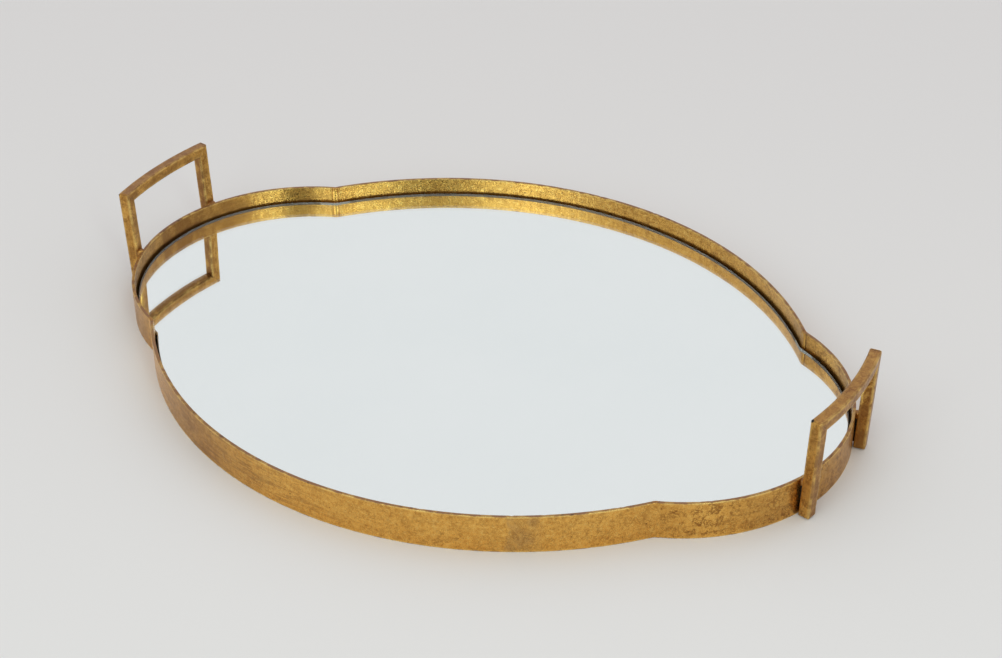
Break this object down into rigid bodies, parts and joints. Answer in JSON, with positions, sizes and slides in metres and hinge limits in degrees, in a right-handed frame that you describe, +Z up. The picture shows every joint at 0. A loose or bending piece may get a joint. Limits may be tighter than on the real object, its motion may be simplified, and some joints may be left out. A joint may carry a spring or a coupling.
{
  "type": "mirrored vanity tray",
  "caption": "Low four-arc mirrored tray with a flat metal rim on edge and a fixed square-bar carrying handle at each end.",
  "frame": {"origin": "centre of the base, on the surface that the tray stands on", "axes": "+X from the left handle to the right handle, -Y towards the front, +Z up"},
  "size_m": [0.618, 0.447, 0.0822],
  "materials": {
    "gold_leaf_rim": "rubbed gold leaf over red-brown bole, satin",
    "gold_leaf_bar": "rubbed gold leaf over red-brown bole, satin",
    "gold_leaf_weld": "rubbed gold leaf over rough weld",
    "mirror_pane": "clear polished glass pane seen as a mirror",
    "silver_and_backing_paint": "silver film with grey backing paint",
    "mastic": "matt",
    "black_board": "black painted fibreboard",
    "black_felt": "short felt nap",
    "screw_steel": "zinc plated"
  },
  "bodies": {
    "root": {"rim_strip_front": "gold_leaf_rim", "rim_strip_back": "gold_leaf_rim", "rim_strip_left": "gold_leaf_rim", "rim_strip_right": "gold_leaf_rim", "rim_cusp_welds": "gold_leaf_weld", "left_handle_rail": "gold_leaf_bar", "left_handle_leg_front": "gold_leaf_bar", "left_handle_leg_back": "gold_leaf_bar", "left_handle_welds": "gold_leaf_weld", "right_handle_rail": "gold_leaf_bar", "right_handle_leg_front": "gold_leaf_bar", "right_handle_leg_back": "gold_leaf_bar", "right_handle_welds": "gold_leaf_weld", "mirror_glass": "mirror_pane", "mirror_silvering": "silver_and_backing_paint", "mirror_adhesive": "mastic", "backing_board": "black_board", "base_felt": "black_felt", "support_tabs": "gold_leaf_rim", "support_tab_welds": "gold_leaf_weld", "board_screws": "screw_steel"}
  },
  "joints": []
}
